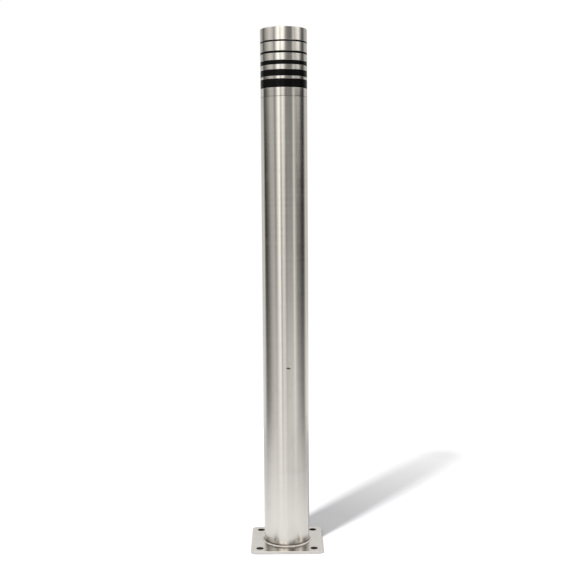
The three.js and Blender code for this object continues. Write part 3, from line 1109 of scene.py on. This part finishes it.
def makeSeals(finish):
    for name, node, radius in (("collar_seal", "spigot_o_ring", seal["spigotCentre"]),
                               ("cap_seal", "cap_o_ring", seal["capCentre"])):
        height = (lowZ(node) + topZ(node)) / 2
        corners = circleCorners(radius, height, seal["thickness"])
        turnHeadPiece(name, node, corners, finish, facets=128)


def rubberFinish():
    finish, tree, inputs, place = newFinish("sealRubber", rubber)
    film = rescale(tree, noise(tree, place, 150.0, 4.0, 0.6), 0.35, 0.75)
    grit = noise(tree, place, 2200.0, 2.0, 0.6)
    colour, rough = blend(tree, rubber, {"film": film, "grit": grit})
    dress(tree, inputs, colour, rough, grit, rubber["gritDepth"])
    return finish


# Core tube and the rod that draws the cap down on the bands, with its washers and nut
core = {"wall": 3 * mm, "edge": 0.4 * mm}
rod = {"radius": 6 * mm, "pitch": 1.75 * mm, "threadDepth": 1.05 * mm, "threaded": 32 * mm,
       "chamfer": 1.1 * mm, "holeRadius": 6.5 * mm, "washerRadius": 12 * mm, "nutFlats": 18 * mm,
       "nutHole": 6.3 * mm, "nutChamfer": 0.6 * mm, "nutFaceInset": 0.3 * mm, "nutSlope": 30,
       "springBore": 6.3 * mm, "springRadius": 10.5 * mm, "springGap": 0.05,
       "runOut": 1 * mm, "tipEdge": 0.1 * mm, "runOutEdge": 0.2 * mm, "topEdge": 0.5 * mm,
       "washerEdge": 0.3 * mm}


def makeCore(finish):
    outer = reach("core_tube")
    corners = ringCorners(outer - core["wall"], outer, lowZ("core_tube"), topZ("core_tube"),
                          core["edge"])
    turnHeadPiece("core", "core_tube", corners, finish)


def makeRod(finish):
    low, top, radius = lowZ("tie_rod"), topZ("tie_rod"), rod["radius"]
    chamfer, threadTop = rod["chamfer"], low + rod["threaded"]
    corners = [(0, low, 0), (radius - chamfer, low, rod["tipEdge"])]
    corners += threadCorners(radius, low + chamfer, threadTop, rod["pitch"], rod["threadDepth"])
    corners += [(radius, threadTop + rod["runOut"], rod["runOutEdge"]),
                (radius, top, rod["topEdge"]), (0, top, 0)]
    turnHeadPiece("rod", "tie_rod", corners, finish, facets=48, closed=False, pitch=rod["pitch"])


def makeWasher(finish):
    node = "tie_rod_washer"
    corners = ringCorners(rod["holeRadius"], rod["washerRadius"], lowZ(node), topZ(node),
                          rod["washerEdge"])
    turnHeadPiece("washer", node, corners, finish, facets=96)


# Hexagon nut, its corners cut back to a cone on both faces
def makeNut(finish):
    low, top, half = lowZ("tie_rod_nut"), topZ("tie_rod_nut"), rod["nutFlats"] / 2
    corner, start = half / math.cos(math.pi / 6), half - rod["nutFaceInset"]
    slope = (corner - start) * math.tan(math.radians(rod["nutSlope"]))
    hole, chamfer = rod["nutHole"], rod["nutChamfer"]
    steps = 6
    cone = [(start + (corner - start) * i / steps, slope * i / steps) for i in range(1, steps + 1)]
    lower = [(radius, low + rise, 0, half) for radius, rise in cone]
    upper = [(radius, top - rise, 0, half) for radius, rise in reversed(cone)]
    corners = [(hole, low + chamfer, 0), (hole + chamfer, low, 0), (start, low, 0), *lower,
               *upper, (start, top, 0), (hole + chamfer, top, 0), (hole, top - chamfer, 0)]
    turnHeadPiece("nut", "tie_rod_nut", corners, finish, facets=72)


def springTree():
    tree, given, made = newTree("springWasher", "GeometryNodeTree", [
        ("Start", "Geometry", None),
        ("Bore", "Float", 6.3 * mm),
        ("Radius", "Float", 10.5 * mm),
        ("Thickness", "Float", 2.5 * mm),
        ("Height", "Float", 0.0),
        ("Gap", "Float", 0.05),
        ("Crease Angle", "Float", math.radians(35)),
        ("Finish", "Material", None),
    ], [("Piece", "Geometry")])
    middle = times(tree, plus(tree, given["Bore"], given["Radius"]), 0.5)
    width = minus(tree, given["Radius"], given["Bore"])
    path = put(tree, "GeometryNodeCurveSpiral", {
        "Resolution": 64, "Rotations": minus(tree, 1.0, given["Gap"]),
        "Start Radius": middle, "End Radius": middle, "Height": 0.0})
    upright = put(tree, "GeometryNodeSetCurveNormal", {"Curve": path.outputs[0]}, mode="Z_UP")
    section = put(tree, "GeometryNodeCurvePrimitiveQuadrilateral", {
        "Width": width, "Height": given["Thickness"]}, mode="RECTANGLE")
    rounded = put(tree, "GeometryNodeFilletCurve", {
        "Curve": section.outputs[0], "Radius": 0.25 * mm, "Count": 3}, mode="POLY")
    swept = put(tree, "GeometryNodeCurveToMesh", {
        "Curve": upright.outputs[0], "Profile Curve": rounded.outputs[0], "Fill Caps": True})
    swung = times(tree, given["Gap"], math.pi)
    placed = put(tree, "GeometryNodeTransform", {
        "Geometry": swept.outputs[0], "Translation": join(tree, z=given["Height"]),
        "Rotation": join(tree, z=swung)})
    finishTree(tree, placed.outputs[0], given, made)
    return tree


def makeSpringWasher(finish):
    node = "tie_rod_spring_washer"
    low, top = lowZ(node), topZ(node)
    values = {"Bore": rod["springBore"], "Radius": rod["springRadius"], "Thickness": top - low,
              "Height": (low + top) / 2, "Gap": rod["springGap"], "Finish": finish}
    mesh = runTree("spring_washer", springTree(), bpy.data.meshes.new("springStart"), values)
    finishPiece("spring_washer", mesh, finish, "head", node)


bpy.context.scene.view_settings.view_transform = "Standard"
placeCamera()
lightRoom()
hangLamp()
layFloor()
print("studio ready")

lathe = latheTree()
grain = grainGroup()
handling = handlingGroup()
heatTint = heatTintGroup()
rubbedEdge = rubbedGroup()
paintedSeamShade = paintedSeamShadeGroup()
brushedTube = brushedTubeFinish()
satinPlate = satinPlateFinish()
weldMetal = weldFinish()
zincPlated = zincFinish()
turnedSteel = plainTurnedFinish("turnedSteel", machined)
glossBlack = blackFinish()
sealRubber = rubberFinish()
print("finishes ready")

makePlate(satinPlate)
makeTube(brushedTube)
makeWeld(weldMetal)
makeGrubScrews(zincPlated)
print("post ready")

makeCollar(turnedSteel)
makeBands(turnedSteel, glossBlack)
makeCap(turnedSteel)
makeSeals(sealRubber)
makeCore(turnedSteel)
makeRod(zincPlated)
makeWasher(zincPlated)
makeNut(zincPlated)
makeSpringWasher(zincPlated)
print("head ready")
